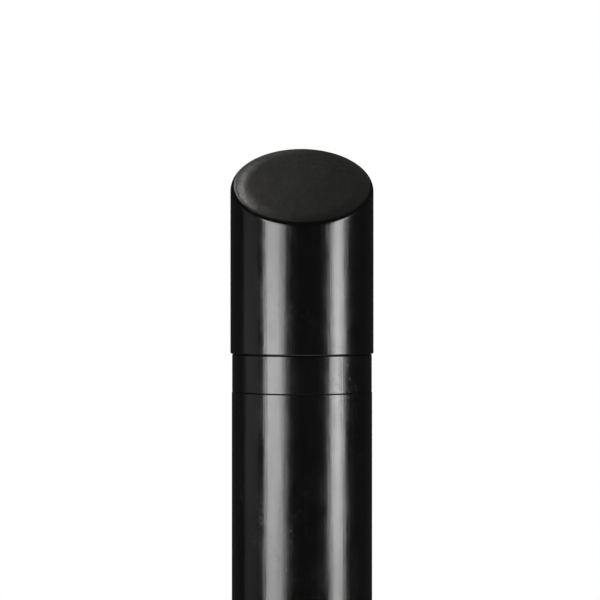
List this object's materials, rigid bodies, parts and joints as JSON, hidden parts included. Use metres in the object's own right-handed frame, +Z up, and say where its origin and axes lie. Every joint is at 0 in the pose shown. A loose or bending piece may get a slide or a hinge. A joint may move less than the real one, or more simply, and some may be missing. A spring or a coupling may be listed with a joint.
{
  "type": "garden torch",
  "caption": "Slim cylindrical oil-burning garden torch with an obliquely cut snuffer cap, a lift-out tank with wick burner, a sectional pole and a ground spike.",
  "frame": {"origin": "on the torch's axis at the ground line, where the spike enters the soil", "axes": "+Z up along the pole; the cap's slanted top is lowest towards -Y and highest towards +Y"},
  "size_m": [0.076, 0.076, 1.4527],
  "materials": {
    "black_coated_steel": "semi-gloss black coating",
    "stainless_steel": "brushed",
    "brass": "turned, slightly tarnished",
    "black_silicone": "matt moulded",
    "wick_fibre": "braided glass fibre",
    "aluminium": "turned",
    "zinc_plated_steel": "bright zinc plating"
  },
  "bodies": {
    "lower_section": {"lower_tube": "black_coated_steel", "lower_joint_sleeve": "aluminium", "lower_joint_seal_ring": "black_silicone", "base_plug": "aluminium", "plug_screws": "zinc_plated_steel", "foot_disc": "black_coated_steel", "spike_rod": "zinc_plated_steel", "spike_washer": "zinc_plated_steel", "spike_nut": "zinc_plated_steel"},
    "middle_section": {"middle_tube": "black_coated_steel", "upper_joint_sleeve": "aluminium", "upper_joint_seal_ring": "black_silicone"},
    "upper_section": {"upper_tube": "black_coated_steel"},
    "tank_seat": {"tank_seal_ring": "black_silicone"},
    "tank": {"collar_ring": "black_coated_steel", "tank_lid": "stainless_steel", "filler_neck": "stainless_steel", "tank_shell": "stainless_steel", "tank_base": "stainless_steel", "tank_guide_ring": "black_silicone"},
    "cap_seat": {"cap_seal_ring": "black_silicone"},
    "cap": {"cap_sleeve": "black_coated_steel", "cap_top_plate": "black_coated_steel"},
    "burner_seat": {"burner_gasket": "black_silicone"},
    "burner": {"burner_cap": "stainless_steel", "wick_tube": "brass", "wick_tube_nut": "brass"},
    "wick": {"wick": "wick_fibre"}
  },
  "joints": [
    {"name": "cap_turn", "type": "hinge", "parent": "tank", "child": "cap_seat", "pos_m": [0, 0, 1.1385], "axis": [0, 0, 1], "range_deg": [0, 360]},
    {"name": "cap_lift", "type": "slide", "parent": "cap_seat", "child": "cap", "axis": [0, 0, 1], "range_m": [0, 0.06]},
    {"name": "tank_lift", "type": "slide", "parent": "upper_section", "child": "tank_seat", "axis": [0, 0, 1], "range_m": [0, 0.17]},
    {"name": "tank_turn", "type": "hinge", "parent": "tank_seat", "child": "tank", "pos_m": [0, 0, 1.117], "axis": [0, 0, 1], "range_deg": [0, 360]},
    {"name": "burner_turn", "type": "hinge", "parent": "burner_seat", "child": "burner", "pos_m": [0, 0, 1.1472], "axis": [0, 0, 1], "range_deg": [0, 900]},
    {"name": "burner_rise", "type": "slide", "parent": "tank", "child": "burner_seat", "axis": [0, 0, 1], "range_m": [0, 0.005]},
    {"name": "wick_raise", "type": "slide", "parent": "burner", "child": "wick", "axis": [0, 0, 1], "range_m": [0, 0.008]},
    {"name": "upper_section_lift", "type": "slide", "parent": "middle_section", "child": "upper_section", "axis": [0, 0, 1], "range_m": [0, 0.05]},
    {"name": "middle_section_lift", "type": "slide", "parent": "lower_section", "child": "middle_section", "axis": [0, 0, 1], "range_m": [0, 0.05]}
  ],
  "couplings": [
    {"joint": "burner_rise", "follows": "burner_turn", "m_per_rad": 0.00031831}
  ]
}
